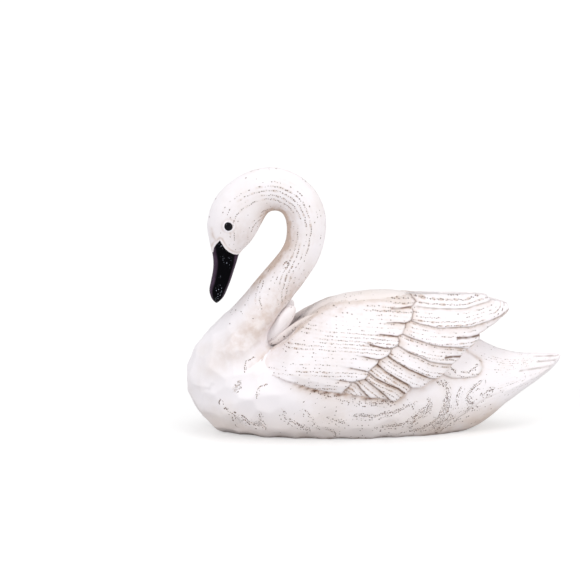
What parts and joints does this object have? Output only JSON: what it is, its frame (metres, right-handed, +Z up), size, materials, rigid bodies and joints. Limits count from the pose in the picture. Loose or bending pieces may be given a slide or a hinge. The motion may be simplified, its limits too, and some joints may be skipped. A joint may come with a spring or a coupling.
{
  "type": "swan figurine",
  "caption": "Resting swan figurine cast in one piece, with an arched neck bent down over the breast, layered carved wing feathers and a flat base that stands by itself.",
  "frame": {"origin": "centre of the footprint's bounding box, on the surface that the swan stands on", "axes": "+Z up; +X towards the tail, so the swan faces -X; +Y towards the swan's right side, so its left side faces -Y"},
  "size_m": [0.2656, 0.0956, 0.1873],
  "materials": {
    "whitewashed_resin": "matt white wash over a brown-grey wood-look casting, worn through in the carved grooves; the bill is painted near-black and the eyes gloss black"
  },
  "bodies": {
    "root": {"swan": "whitewashed_resin"}
  },
  "joints": []
}
